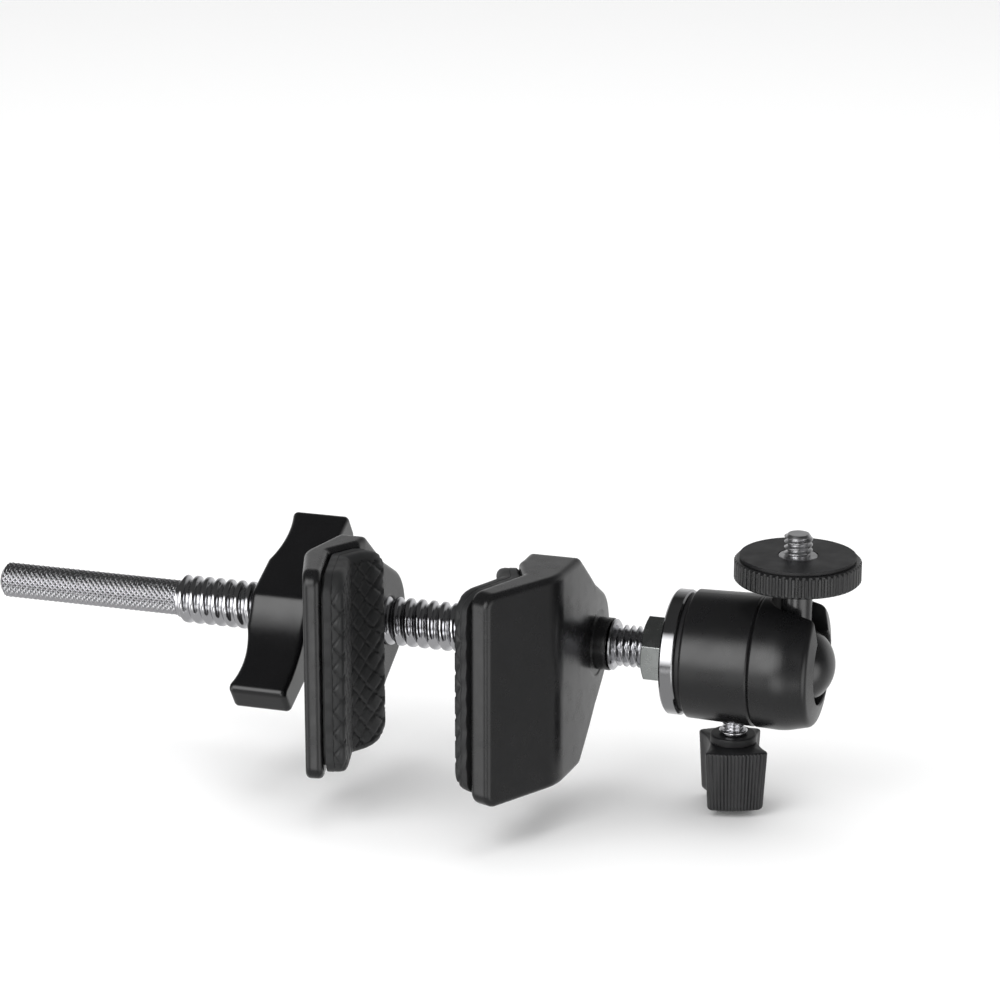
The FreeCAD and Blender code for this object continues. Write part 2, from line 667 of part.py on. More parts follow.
PIECES = {
    "clamp_rod": clamp_rod,
    "fixed_jaw": fixed_jaw,
    "fixed_jaw_pad": pad,
    "jaw_pin": jaw_pin,
    "moving_jaw": moving_jaw,
    "moving_jaw_pad": lambda: lean(pad()),
    "thrust_washer": thrust_washer,
    "wing_nut": wing_nut,
    "jam_nut": jam_nut,
    "head_base_ring": head_base_ring,
    "base_gasket": base_gasket,
    "housing_base": housing_base,
    "housing_front": housing_front,
    "ball_cup": ball_cup,
    "cup_spring": cup_spring,
    "ball": ball,
    "stem": stem,
    "platform_disc": platform_disc,
    "platform_pad": platform_pad,
    "camera_stud": camera_stud,
    "lock_screw": lock_screw,
    "lock_collar": lock_collar,
    "lock_knob": lock_knob,
}


def main():
    """Write every piece to its own STEP file."""
    os.makedirs("parts", exist_ok=True)
    for name, make in PIECES.items():
        shape = make()
        shape.exportStep(os.path.join("parts", name + ".step"))
        print(name, len(shape.Solids), round(shape.Volume, 1), shape.isValid())


main()
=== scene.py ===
"""Looks, stage and camera for a super clamp with a mini ball head.

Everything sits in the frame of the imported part: X along the clamp rod towards the ball head,
Y away from the jaws' mouth, Z up. Blender works in metres; the shapes below are written in
millimetres and scaled once, when their mesh is made.
"""

import json
import math

import bpy
import numpy as np
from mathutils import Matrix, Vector


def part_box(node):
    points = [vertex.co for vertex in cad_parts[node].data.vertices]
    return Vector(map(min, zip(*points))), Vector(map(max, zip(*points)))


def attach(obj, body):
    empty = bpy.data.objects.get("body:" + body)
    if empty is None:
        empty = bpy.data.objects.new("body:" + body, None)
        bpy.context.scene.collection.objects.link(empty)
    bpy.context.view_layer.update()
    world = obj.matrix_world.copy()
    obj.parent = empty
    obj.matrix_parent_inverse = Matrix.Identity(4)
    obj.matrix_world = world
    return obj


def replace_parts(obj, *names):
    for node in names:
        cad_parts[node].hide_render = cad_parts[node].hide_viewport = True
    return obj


MM = 0.001
INCH = 25.4
TURN = 2 * math.pi

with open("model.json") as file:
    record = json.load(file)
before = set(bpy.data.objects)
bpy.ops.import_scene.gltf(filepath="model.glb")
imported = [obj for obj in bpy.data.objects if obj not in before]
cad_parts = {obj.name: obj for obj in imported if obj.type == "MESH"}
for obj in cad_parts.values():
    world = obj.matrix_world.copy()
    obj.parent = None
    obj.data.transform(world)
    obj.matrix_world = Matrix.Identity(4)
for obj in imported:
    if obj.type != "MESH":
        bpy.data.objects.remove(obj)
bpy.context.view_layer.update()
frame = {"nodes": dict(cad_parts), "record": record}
nodes = frame["nodes"]


# --- small node-tree helper ---------------------------------------------------------------

def add(tree, kind, inputs=None, **settings):
    """Adds a shader node, sets its options, and fills or links its inputs."""
    made = tree.nodes.new(kind)
    for key, value in settings.items():
        setattr(made, key, value)
    for key, value in (inputs or {}).items():
        if isinstance(value, bpy.types.NodeSocket):
            tree.links.new(value, made.inputs[key])
        else:
            made.inputs[key].default_value = value
    return made


def noise(tree, coords, size_mm, detail=3.0, stretch=None):
    """Noise whose blotches are about size_mm across, stretched along an axis if asked."""
    vector = coords
    if stretch:
        vector = add(tree, "ShaderNodeMapping", {"Vector": coords, "Scale": stretch}).outputs["Vector"]
    made = add(tree, "ShaderNodeTexNoise",
               {"Vector": vector, "Scale": 1 / (size_mm * MM), "Detail": detail})
    return made.outputs["Fac"]


def remap(tree, value, low, high, out_low, out_high):
    """Value between low and high carried to between out_low and out_high, clamped."""
    made = add(tree, "ShaderNodeMapRange", {"Value": value, "From Min": low, "From Max": high,
                                            "To Min": out_low, "To Max": out_high})
    return made.outputs["Result"]


def mix_colour(tree, share, first, second):
    """Blend of two colours."""
    made = add(tree, "ShaderNodeMix", data_type="RGBA")
    tree.links.new(share, made.inputs["Factor"])
    for key, value in (("A", first), ("B", second)):
        socket = [s for s in made.inputs if s.name == key and s.type == "RGBA"][0]
        if isinstance(value, bpy.types.NodeSocket):
            tree.links.new(value, socket)
        else:
            socket.default_value = (*value, 1.0)
    return [s for s in made.outputs if s.type == "RGBA"][0]


def edge_mask(tree, radius_mm):
    """0 on flat surfaces, rising to 1 along sharp edges; also the rounded normal itself."""
    rounded = add(tree, "ShaderNodeBevel", {"Radius": radius_mm * MM}, samples=6).outputs["Normal"]
    flat = add(tree, "ShaderNodeNewGeometry").outputs["Normal"]
    facing = add(tree, "ShaderNodeVectorMath", {0: rounded, 1: flat}, operation="DOT_PRODUCT")
    return remap(tree, facing.outputs["Value"], 0.995, 0.85, 0.0, 1.0), rounded


def finish(name, colour, rough, metallic=0.0, variation=0.15, rough_spread=0.06,
           bumps=((0.5, 0.01),), edge_mm=0.35, wear=None, coat=0.0, pits=None,
           stretch=None, specular=0.5):
    """Procedural surface: blotchy colour, uneven roughness, bump at real scales, worn edges.

    bumps are (size, height) in millimetres. wear is (colour, share, roughness) along edges.
    pits are (spacing, share, depth) in millimetres for scattered specks.
    """
    material = bpy.data.materials.new(name)
    material.use_nodes = True
    material.diffuse_color = (*colour, 1.0)
    tree = material.node_tree
    tree.nodes.clear()
    coords = add(tree, "ShaderNodeTexCoord").outputs["Object"]
    mask, rounded = edge_mask(tree, edge_mm)

    blotches = noise(tree, coords, 9.0)
    dark = [c * (1 - variation) for c in colour]
    light = [min(1.0, c * (1 + variation)) for c in colour]
    base = mix_colour(tree, blotches, dark, light)
    smudges = noise(tree, coords, 4.0, detail=5.0, stretch=stretch)
    roughness = remap(tree, smudges, 0.3, 0.7, rough - rough_spread, rough + rough_spread)

    normal = rounded
    for size, height in bumps:
        grain = noise(tree, coords, size, stretch=stretch)
        normal = add(tree, "ShaderNodeBump", {"Height": grain, "Distance": height * MM,
                                              "Strength": 1.0, "Normal": normal}).outputs["Normal"]
    if pits:
        spacing, share, depth = pits
        cells = add(tree, "ShaderNodeTexVoronoi", {"Vector": coords, "Scale": 1 / (spacing * MM)})
        hole = remap(tree, cells.outputs["Distance"], 0.0, share, 0.0, 1.0)
        normal = add(tree, "ShaderNodeBump", {"Height": hole, "Distance": depth * MM,
                                              "Strength": 1.0, "Normal": normal}).outputs["Normal"]
    if wear:
        wear_colour, share, wear_rough = wear
        broken = noise(tree, coords, 0.8, detail=6.0)
        rubbed = remap(tree, broken, 0.45, 0.75, 0.0, share)
        amount = add(tree, "ShaderNodeMath", {0: mask, 1: rubbed}, operation="MULTIPLY").outputs[0]
        base = mix_colour(tree, amount, base, wear_colour)
        change = add(tree, "ShaderNodeMath", {0: amount, 1: wear_rough - rough},
                     operation="MULTIPLY").outputs[0]
        roughness = add(tree, "ShaderNodeMath", {0: roughness, 1: change}, operation="ADD").outputs[0]

    shader = add(tree, "ShaderNodeBsdfPrincipled", {
        "Base Color": base, "Roughness": roughness, "Metallic": metallic, "Normal": normal,
        "Coat Weight": coat, "Coat Roughness": 0.12, "Specular IOR Level": specular})
    out = add(tree, "ShaderNodeOutputMaterial")
    tree.links.new(shader.outputs["BSDF"], out.inputs["Surface"])
    return material


def make_finishes():
    """One material for each material slot in the record."""
    return {
        "chrome_bar": finish("chrome_bar", (0.62, 0.62, 0.64), 0.13, metallic=1.0, variation=0.06,
                             rough_spread=0.06, bumps=((1.2, 0.006), (0.15, 0.0015)), edge_mm=0.12,
                             wear=((0.25, 0.25, 0.26), 0.6, 0.3)),
        "chrome_ring": finish("chrome_ring", (0.40, 0.40, 0.41), 0.10, metallic=1.0, variation=0.05,
                              rough_spread=0.05, bumps=((1.5, 0.008),), edge_mm=0.2,
                              wear=((0.35, 0.35, 0.36), 0.4, 0.3)),
        "powder_coat": finish("powder_coat", (0.0075, 0.0075, 0.008), 0.24, variation=0.3,
                              rough_spread=0.06, bumps=((1.8, 0.010), (0.30, 0.0012)), edge_mm=1.0,
                              wear=((0.05, 0.05, 0.052), 0.4, 0.3), pits=(6.1, 0.03, 0.04)),
        "gloss_coat": finish("gloss_coat", (0.0050, 0.0050, 0.0055), 0.20, variation=0.3,
                             rough_spread=0.05, bumps=((1.4, 0.010), (0.30, 0.0016)), edge_mm=0.8,
                             wear=((0.10, 0.10, 0.105), 0.4, 0.25), coat=0.2,
                             pits=(7.0, 0.03, 0.04)),
        "jaw_rubber": finish("jaw_rubber", (0.017, 0.0175, 0.018), 0.50, variation=0.3,
                             rough_spread=0.1, bumps=((0.7, 0.02), (0.15, 0.006)), edge_mm=0.4,
                             wear=((0.05, 0.05, 0.052), 0.7, 0.7), specular=0.45),
        "plain_steel": finish("plain_steel", (0.52, 0.52, 0.53), 0.33, metallic=1.0, variation=0.1,
                              rough_spread=0.08, bumps=((0.3, 0.003),), edge_mm=0.2,
                              wear=((0.75, 0.75, 0.75), 0.5, 0.2), stretch=(1.0, 1.0, 6.0)),
        "plated_nut": finish("plated_nut", (0.48, 0.50, 0.49), 0.25, metallic=1.0, variation=0.2,
                             rough_spread=0.1, bumps=((0.5, 0.012), (0.15, 0.006)), edge_mm=0.25,
                             wear=((0.62, 0.63, 0.62), 0.6, 0.2), pits=(1.4, 0.10, 0.06)),
        "black_seal": finish("black_seal", (0.010, 0.010, 0.011), 0.50, variation=0.3,
                             bumps=((0.4, 0.008),), edge_mm=0.2,
                             wear=((0.05, 0.05, 0.05), 0.5, 0.5)),
        "black_anodised": finish("black_anodised", (0.0070, 0.0070, 0.0075), 0.29, variation=0.2,
                                 rough_spread=0.04, edge_mm=0.35,
                                 bumps=((0.25, 0.0025), (0.08, 0.001)),
                                 wear=((0.12, 0.12, 0.125), 0.4, 0.25), specular=0.6),
        "black_ball": finish("black_ball", (0.012, 0.012, 0.0125), 0.22, variation=0.2,
                             rough_spread=0.05, bumps=((0.3, 0.002),), edge_mm=0.3,
                             wear=((0.10, 0.10, 0.105), 0.4, 0.25), specular=0.85),
        "cup_plastic": finish("cup_plastic", (0.70, 0.68, 0.62), 0.45, variation=0.08,
                              bumps=((0.5, 0.004),), edge_mm=0.3,
                              wear=((0.5, 0.48, 0.42), 0.5, 0.5)),
        "knob_plastic": finish("knob_plastic", (0.014, 0.014, 0.015), 0.40, variation=0.25,
                               rough_spread=0.08, bumps=((0.25, 0.006), (0.08, 0.002)), edge_mm=0.25,
                               wear=((0.05, 0.05, 0.05), 0.6, 0.5)),
    }


finishes = make_finishes()
slot_of = {part["node"]: part["material_slot"] for part in frame["record"]["subparts"]}


def dress_cad_nodes():
    """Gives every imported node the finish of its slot, and smooth shading between sharp edges."""
    for name, obj in nodes.items():
        obj.data.materials.clear()
        obj.data.materials.append(finishes[slot_of[name]])
        obj.data.polygons.foreach_set("use_smooth", [True] * len(obj.data.polygons))
        obj.data.set_sharp_from_angle(angle=math.radians(30))


# --- round bars with threads and knurls ---------------------------------------------------

def smooth(t):
    """Smooth step between 0 and 1."""
    t = np.clip(t, 0.0, 1.0)
    return t * t * (3 - 2 * t)


def thread(pitch, crest, root, crest_share=0.14, root_share=0.14, sharp=False):
    """Radius of a right-hand thread as a function of place along the bar and angle."""
    def radius(along, angle):
        phase = along / pitch - angle / TURN
        away = np.abs((phase + 0.5) % 1.0 - 0.5)
        flank = (0.5 - root_share / 2 - away) / (0.5 - (crest_share + root_share) / 2)
        height = np.clip(flank, 0.0, 1.0) if sharp else smooth(flank)
        return root + (crest - root) * height
    return radius


def knurl(radius, around, lengthwise, depth):
    """Radius of a diamond knurl with so many diamonds round the bar and along its stretch."""
    def at(along, angle):
        place = (along - along.min()) / (along.max() - along.min()) * lengthwise
        right = (place + angle * around / TURN) % 1.0
        left = (place - angle * around / TURN) % 1.0
        peak = np.minimum(1 - np.abs(2 * right - 1), 1 - np.abs(2 * left - 1))
        return radius - depth * (1 - peak)
    return at


def plain(r0, r1=None):
    """Radius of a plain cylinder or cone; a cone runs over the stretch it is used on."""
    r1 = r0 if r1 is None else r1

    def at(along, angle):
        span = max(along.max() - along.min(), 1e-9)
        return r0 + (r1 - r0) * (along - along.min()) / span
    return at


def bar(name, parts, steps, slot, body, axis="x", offset=(0.0, 0.0)):
    """Closed round bar made of stretches (start, end, step length, radius function)."""
    angles = np.arange(steps) * TURN / steps
    rows = []
    for start, end, step, radius_at in parts:
        count = max(1, round((end - start) / step))
        along, angle = np.meshgrid(np.linspace(start, end, count + 1), angles, indexing="ij")
        radius = radius_at(along, angle)
        rows.append(np.stack([along, radius * np.cos(angle), radius * np.sin(angle)], -1))
    grid = np.concatenate(rows)
    count = len(grid)
    ends = np.array([[grid[0, 0, 0], 0, 0], [grid[-1, 0, 0], 0, 0]])
    points = np.vstack([grid.reshape(-1, 3), ends])
    if axis == "z":
        points = points[:, [1, 2, 0]]
        points[:, 0] += offset[0]
        points[:, 1] += offset[1]
    faces = along_crests(tube_faces(count, steps), np.hypot(grid[..., 1], grid[..., 2]).ravel())
    return new_piece(name, points, faces + cap_faces(count, steps), slot, body)


def tube_faces(rows, steps):
    """Quads between successive closed rings of equal length."""
    faces = []
    for i in range(rows - 1):
        for j in range(steps):
            k = (j + 1) % steps
            faces.append((i * steps + j, i * steps + k, (i + 1) * steps + k, (i + 1) * steps + j))
    return faces


def cap_faces(rows, steps):
    """Triangles from the first and last ring to two centre points that follow the rings."""
    faces = []
    first, last = rows * steps, rows * steps + 1
    for j in range(steps):
        k = (j + 1) % steps
        faces.append((first, k, j))
        faces.append((last, (rows - 1) * steps + j, (rows - 1) * steps + k))
    return faces


def along_crests(quads, height):
    """Quads cut into triangles along the diagonal that keeps most to one height.

    Ridges and grooves that cross the grid at a slant stay unbroken that way.
    """
    faces = []
    for a, b, c, d in quads:
        if abs(height[a] - height[c]) <= abs(height[b] - height[d]):
            faces += [(a, b, c), (a, c, d)]
        else:
            faces += [(a, b, d), (b, c, d)]
    return faces


def new_piece(name, points_mm, faces, slot, body, sharp_deg=38.0):
    """Mesh object from millimetre points, smooth shaded, riding on a body."""
    mesh = bpy.data.meshes.new(name)
    mesh.from_pydata((np.asarray(points_mm) * MM).tolist(), [], [tuple(f) for f in faces])
    mesh.validate()
    mesh.polygons.foreach_set("use_smooth", [True] * len(mesh.polygons))
    mesh.set_sharp_from_angle(angle=math.radians(sharp_deg))
    mesh.materials.append(finishes[slot])
    obj = bpy.data.objects.new(name, mesh)
    bpy.context.scene.collection.objects.link(obj)
    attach(obj, body)
    return obj


def clamp_rod_piece():
    """Knurled handle, rolled coarse thread, shoulder and 3/8 inch stud."""
    low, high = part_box("clamp_rod")
    x0, x_end = low.x / MM, high.x / MM
    end_chamfer = 0.8
    knurl_r = 4.2                   # rolled diamonds stand a little proud of the 8 mm bar
    knurl_depth = 0.34
    around, rows_each = 20, 6       # diamonds round the bar, and grid rows in each
    neck_r, neck = 3.85, 0.6
    handle_end = -70.2
    knurl_x0, knurl_x1 = x0 + end_chamfer, handle_end - neck
    lengthwise = round((knurl_x1 - knurl_x0) / (TURN * knurl_r / around))
    knurl_step = (knurl_x1 - knurl_x0) / lengthwise / rows_each

    coarse_pitch, coarse_crest, coarse_root = 2.8, 5.65, 4.7
    lead_in, run_out = 0.9, 2.0
    shoulder_x, shoulder_end, shoulder_r, shoulder_edge = 35.4, 36.6, 5.8, 0.4
    stud_pitch, stud_r = INCH / 16, 9.525 / 2
    stud_root = stud_r - 0.95
    relief = 0.5
    coarse = thread(coarse_pitch, coarse_crest, coarse_root, crest_share=0.2, root_share=0.1)
    fine = thread(stud_pitch, stud_r, stud_root, sharp=True)
    parts = [
        (x0, knurl_x0, end_chamfer / 2, plain(3.2, 4.0)),
        (knurl_x0, knurl_x1, knurl_step, knurl(knurl_r, around, lengthwise, knurl_depth)),
        (knurl_x1, handle_end, neck / 2, plain(neck_r)),
        (handle_end, handle_end + lead_in, lead_in / 3, plain(4.6, 4.75)),
        (handle_end + lead_in, shoulder_x - run_out, coarse_pitch / 12, coarse),
        (shoulder_x - run_out, shoulder_x, run_out / 4, plain(4.8)),
        (shoulder_x, shoulder_x + shoulder_edge, shoulder_edge / 2, plain(5.4, shoulder_r)),
        (shoulder_x + shoulder_edge, shoulder_end - shoulder_edge, 0.2, plain(shoulder_r)),
        (shoulder_end - shoulder_edge, shoulder_end, shoulder_edge / 2, plain(shoulder_r, 5.3)),
        (shoulder_end, shoulder_end + relief, relief / 2, plain(stud_root)),
        (shoulder_end + relief, x_end - end_chamfer, stud_pitch / 10, fine),
        (x_end - end_chamfer, x_end, end_chamfer / 2, plain(stud_root, stud_root - 0.5)),
    ]
    piece = bar("clamp_rod_threaded", parts, around * rows_each, "chrome_bar", "root")
    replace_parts(piece, "clamp_rod")


def lock_screw_piece():
    """Pointed lock screw with its flange, threaded where it enters the housing."""
    low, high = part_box("lock_screw")
    z0, z1 = low.z / MM, high.z / MM
    screw_r, flange_r = 2.5, high.y / MM
    flange_z0, flange_z1, flange_edge = -18.0, -17.0, 0.25
    cone_z0 = z1 - 2.1
    pitch = 0.8
    metric = thread(pitch, screw_r, screw_r - 0.45, sharp=True)
    parts = [
        (z0, flange_z0, 2.0, plain(screw_r - 0.1)),
        (flange_z0, flange_z0 + flange_edge, flange_edge / 2, plain(flange_r - flange_edge, flange_r)),
        (flange_z0 + flange_edge, flange_z1 - flange_edge, flange_edge, plain(flange_r)),
        (flange_z1 - flange_edge, flange_z1, flange_edge / 2, plain(flange_r, flange_r - flange_edge)),
        (flange_z1, cone_z0, pitch / 10, metric),
        (cone_z0, z1, 1.0, plain(screw_r - 0.3, 0.4)),
    ]
    piece = bar("lock_screw_threaded", parts, 48, "chrome_bar", "lock", axis="z",
                offset=((low.x + high.x) / 2 / MM, 0.0))
    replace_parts(piece, "lock_screw")


def camera_stud_piece():
    """Quarter-inch threaded stud standing on its flange."""
    low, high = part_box("camera_stud")
    z0, z1 = low.z / MM, high.z / MM
    pitch, stud_r, flange_r = INCH / 20, 3.175, high.y / MM
    root_r = stud_r - 0.75
    seat_z = z1 - 5.0
    flange_z0, flange_edge = seat_z - 0.78, 0.15
    relief, tip_chamfer = 0.3, 0.6
    inch = thread(pitch, stud_r, root_r, sharp=True)
    parts = [
        (z0, flange_z0, 0.5, plain(stud_r - 1.02)),
        (flange_z0, seat_z - flange_edge, 0.3, plain(flange_r)),
        (seat_z - flange_edge, seat_z, 0.1, plain(flange_r, flange_r - flange_edge)),
        (seat_z, seat_z + relief, relief / 2, plain(root_r)),
        (seat_z + relief, z1 - tip_chamfer, pitch / 12, inch),
        (z1 - tip_chamfer, z1, tip_chamfer / 2, plain(stud_r - 0.35, stud_r - 0.85)),
    ]
    piece = bar("camera_stud_threaded", parts, 64, "plain_steel", "camera_plate", axis="z",
                offset=((low.x + high.x) / 2 / MM, 0.0))
    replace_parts(piece, "camera_stud")


# --- ribbed knob --------------------------------------------------------------------------

KNOB_HALF_WIDTH = (6.25, 7.0)   # bottom, top
KNOB_HALF_LENGTH = (8.4, 9.0)
KNOB_RIBS = 15
KNOB_RIB_DEPTH = 0.5
KNOB_CORNER = 0.7
KNOB_BOW = 1.2                  # the ribbed ends bulge by this much
KNOB_WAIST = 1.6                # the plain sides are hollow by this much
KNOB_TURN = 20.0                # degrees the knob stands turned at rest
KNOB_FOOT_R = 1.0               # rounded bottom edge
KNOB_CROWN_R = 0.5              # rounded top edge
KNOB_OFF_COLLAR = 5.2           # from the collar's low-X side to the knob's axis


def knob_ring(half_width, half_length, rib, shrink):
    """Closed outline of the knob: ribbed bowed ends joined by waisted sides."""
    per_rib, side_steps = 8, 14
    ribbed = half_width - KNOB_CORNER
    pitch = 2 * ribbed / KNOB_RIBS
    across = np.linspace(-half_width, half_width, KNOB_RIBS * per_rib + 1)
    over = np.clip(np.abs(across) - ribbed, 0, KNOB_CORNER)
    drop = KNOB_CORNER - np.sqrt(KNOB_CORNER ** 2 - over ** 2)
    fade = smooth((ribbed - np.abs(across)) / 0.3 + 0.5)
    in_rib = 2 * (((across + ribbed) / pitch) % 1.0) - 1
    groove_depth = (1 - np.sqrt(1 - 0.98 * in_rib ** 2)) * fade
    reach = half_length - KNOB_BOW * (across / half_width) ** 2 - drop - rib * groove_depth
    front = np.stack([across, -reach], -1)
    back = np.stack([across[::-1], reach[::-1]], -1)
    climb = np.linspace(-1, 1, side_steps + 2)[1:-1]
    side_y = reach[0] * climb
    side_x = half_width - KNOB_WAIST * (1 - climb ** 2)
    right = np.stack([side_x, side_y], -1)
    left = np.stack([-side_x, side_y[::-1]], -1)
    ring = np.concatenate([front, right, back, left])
    size = np.array([half_width, half_length])
    return ring * (size - shrink) / size


def knob_levels(z0, z1):
    """Heights up the knob, each with how far the outline shrinks and its share of rib depth."""
    foot_steps, crown_steps = 5, 4
    levels = []
    for k in range(foot_steps + 1):
        angle = k / foot_steps * math.pi / 2
        levels.append((z0 + KNOB_FOOT_R * (1 - math.cos(angle)), KNOB_FOOT_R * (1 - math.sin(angle)),
                       0.5 + 0.5 * math.sin(angle)))
    levels += [(z, 0.0, 1.0) for z in np.linspace(z0 + 1.6, z1 - 0.9, 12)]
    for k in range(crown_steps + 1):
        angle = k / crown_steps * math.pi / 2
        levels.append((z1 - KNOB_CROWN_R * (1 - math.sin(angle)), KNOB_CROWN_R * (1 - math.cos(angle)),
                       1.0 - 0.8 * math.sin(angle)))
    return levels


def lock_knob_piece():
    """Oblong ribbed knob, wider at its top, with softened top and bottom edges."""
    low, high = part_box("lock_knob")
    z0, z1 = low.z / MM, high.z / MM
    centre_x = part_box("lock_collar")[0].x / MM + KNOB_OFF_COLLAR
    turn = math.radians(KNOB_TURN)
    rows = []
    for z, shrink, share in knob_levels(z0, z1):
        rise = (z - z0) / (z1 - z0)
        ring = knob_ring(np.interp(rise, (0, 1), KNOB_HALF_WIDTH), np.interp(rise, (0, 1), KNOB_HALF_LENGTH),
                         KNOB_RIB_DEPTH * share, shrink)
        x = ring[:, 0] * math.cos(turn) - ring[:, 1] * math.sin(turn) + centre_x
        y = ring[:, 0] * math.sin(turn) + ring[:, 1] * math.cos(turn)
        rows.append(np.stack([x, y, np.full(len(ring), z)], -1))
    steps = len(rows[0])
    points = np.concatenate(rows + [[[centre_x, 0, z0]], [[centre_x, 0, z1]]])
    faces = tube_faces(len(rows), steps) + cap_faces(len(rows), steps)
    piece = new_piece("lock_knob_ribbed", points, faces, "knob_plastic", "lock", sharp_deg=50)
    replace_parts(piece, "lock_knob")


# --- rubber pads --------------------------------------------------------------------------

PAD_SEAT = ((15.9, -44.8), (22.9, -28.5), (19.6, -20.4), (19.8, -17.0))
PAD_HALF_HEIGHT = 23.8
PAD_CORNER = 6.0
PATH_STEPS = 400
PATH_EASE = 20                  # path steps each way that the bends are eased over
PAD_COLUMNS, PAD_ROWS = 76, 130
WALL_STEPS, ROLL_STEPS = 7, 7   # rings up a layer's wall, and round its rolled edge
TREAD_PITCH = 5.1               # height of one diamond of the tread
TREAD_WIDTH = 3.8
GROOVE_HALF_WIDTH = 0.32
PAD_LEAN = 9.0                  # the sliding jaw's pad is mirrored, then turned and shifted
PAD_SHIFT = (3.8, -0.8)
PAD_LAYERS = (                  # near, far, margin, rolled edge, groove depth, wave of the rim
    ("_foot", 0.02, 0.8, 1.7, 0.2, 0.0, 0.0),
    ("_base", 0.7, 2.5, 0.1, 0.5, 0.0, 0.16),
    ("_tread", 2.4, 5.1, 0.3, 1.7, 0.45, 0.0),
)


def at_step(position, table):
    """Rows of a table read at fractional row numbers."""
    steps = np.arange(len(table))
    return np.stack([np.interp(position, steps, table[:, c]) for c in range(table.shape[1])], -1)


def seat_path():
    """Plan points and normals, front to back, of the V that a pad lines, and its length.

    The V's corners are eased by a running mean, as the rubber bends round them.
    """
    corners = np.array(PAD_SEAT)
    legs = np.linalg.norm(np.diff(corners, axis=0), axis=1)
    along = np.concatenate([[0], np.cumsum(legs)])
    places = np.linspace(0, along[-1], PATH_STEPS)
    raw = np.stack([np.interp(places, along, corners[:, 0]), np.interp(places, along, corners[:, 1])], -1)
    before = raw[0] + (raw[0] - raw[1]) * np.arange(PATH_EASE, 0, -1)[:, None]
    after = raw[-1] + (raw[-1] - raw[-2]) * np.arange(1, PATH_EASE + 1)[:, None]
    padded = np.vstack([before, raw, after])
    kernel = np.ones(2 * PATH_EASE + 1) / (2 * PATH_EASE + 1)
    eased = np.stack([np.convolve(padded[:, c], kernel, "valid") for c in (0, 1)], -1)
    tangent = np.gradient(eased, axis=0)
    tangent /= np.linalg.norm(tangent, axis=1)[:, None]
    normal = np.stack([-tangent[:, 1], tangent[:, 0]], -1)
    return eased, normal, along[-1]


def carry_to_seat(sheet, distance):
    """Carries unrolled sheet points (s, z) to the seat, at distances out from it."""
    path, normal, length = seat_path()
    position = (sheet[:, 0] / length + 0.5) * (PATH_STEPS - 1)
    inside = np.clip(position, 0, PATH_STEPS - 1)
    out = at_step(inside, normal)
    ahead = np.stack([out[:, 1], -out[:, 0]], -1)
    beyond = (position - inside) / (PATH_STEPS - 1) * length
    spot = at_step(inside, path) + ahead * beyond[:, None] + out * distance[:, None]
    return np.column_stack([spot, sheet[:, 1]])


def sheet_grid(half_s, half_z, corner, columns, rows):
    """Rounded rectangle filled with a grid of points, row by row from the bottom.

    Rows stand a little closer together towards the bottom and top, where the corners bend.
    """
    crowding = 0.25
    even = np.linspace(-half_z, half_z, rows)
    crowded = half_z * np.sin(np.linspace(-1, 1, rows) * math.pi / 2)
    heights = (1 - crowding) * even + crowding * crowded
    over = np.clip(np.abs(heights) - (half_z - corner), 0, corner)
    inset = corner - np.sqrt(corner ** 2 - over ** 2)
    s = (half_s - inset)[:, None] * np.linspace(-1, 1, columns)[None, :]
    z = np.repeat(heights[:, None], columns, 1)
    return np.stack([s, z], -1).reshape(-1, 2)


def rim_of(rows, columns):
    """Grid indices round the border, counter-clockwise."""
    bottom = list(range(columns - 1))
    right = [i * columns + columns - 1 for i in range(rows - 1)]
    top = [(rows - 1) * columns + j for j in range(columns - 1, 0, -1)]
    left = [i * columns for i in range(rows - 1, 0, -1)]
    return bottom + right + top + left


def groove(s, z, depth):
    """Depth of the diamond grooves at unrolled place s and height z."""
    cut = np.zeros(len(s))
    lean = math.hypot(1 / TREAD_WIDTH, 1 / TREAD_PITCH)
    for sign in (-1, 1):
        phase = s / TREAD_WIDTH + sign * z / TREAD_PITCH
        away = np.abs((phase + 0.5) % 1.0 - 0.5) / lean
        cut = np.maximum(cut, depth * smooth(1 - away / GROOVE_HALF_WIDTH))
    return cut


